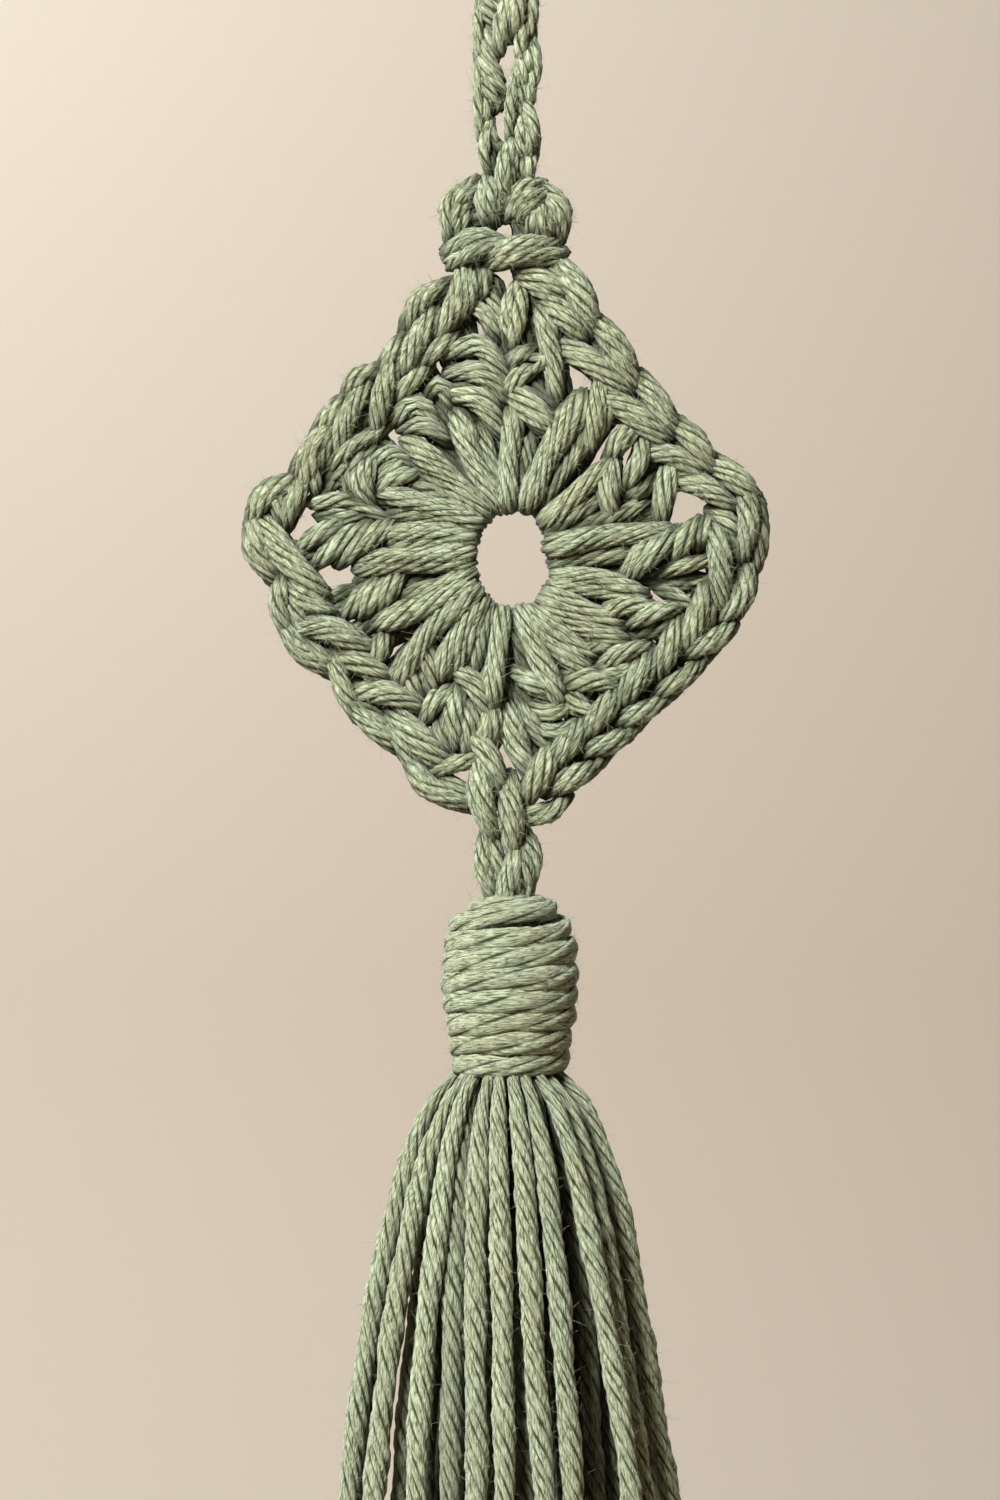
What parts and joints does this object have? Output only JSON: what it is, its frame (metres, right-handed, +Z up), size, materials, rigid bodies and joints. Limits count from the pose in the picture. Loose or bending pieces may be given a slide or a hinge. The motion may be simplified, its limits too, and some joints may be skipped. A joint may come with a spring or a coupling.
{
  "type": "crochet hanging ornament",
  "caption": "Diamond-shaped crochet motif with an open round centre, hung on a chain-stitch loop, with a wound-head yarn tassel below.",
  "frame": {"origin": "inner top of the hanging loop, where a hook or peg carries it", "axes": "+Z up, the front towards -Y, +X to the right as seen from the front"},
  "size_m": [0.0523, 0.0398, 0.1963],
  "materials": {
    "cotton_yarn": "matt plied cotton yarn, sage green"
  },
  "bodies": {
    "root": {"hanging_loop": "cotton_yarn", "hitch": "cotton_yarn", "edging_round": "cotton_yarn", "centre_round": "cotton_yarn", "tassel_link": "cotton_yarn", "tassel_wrap": "cotton_yarn", "tassel": "cotton_yarn"}
  },
  "joints": []
}
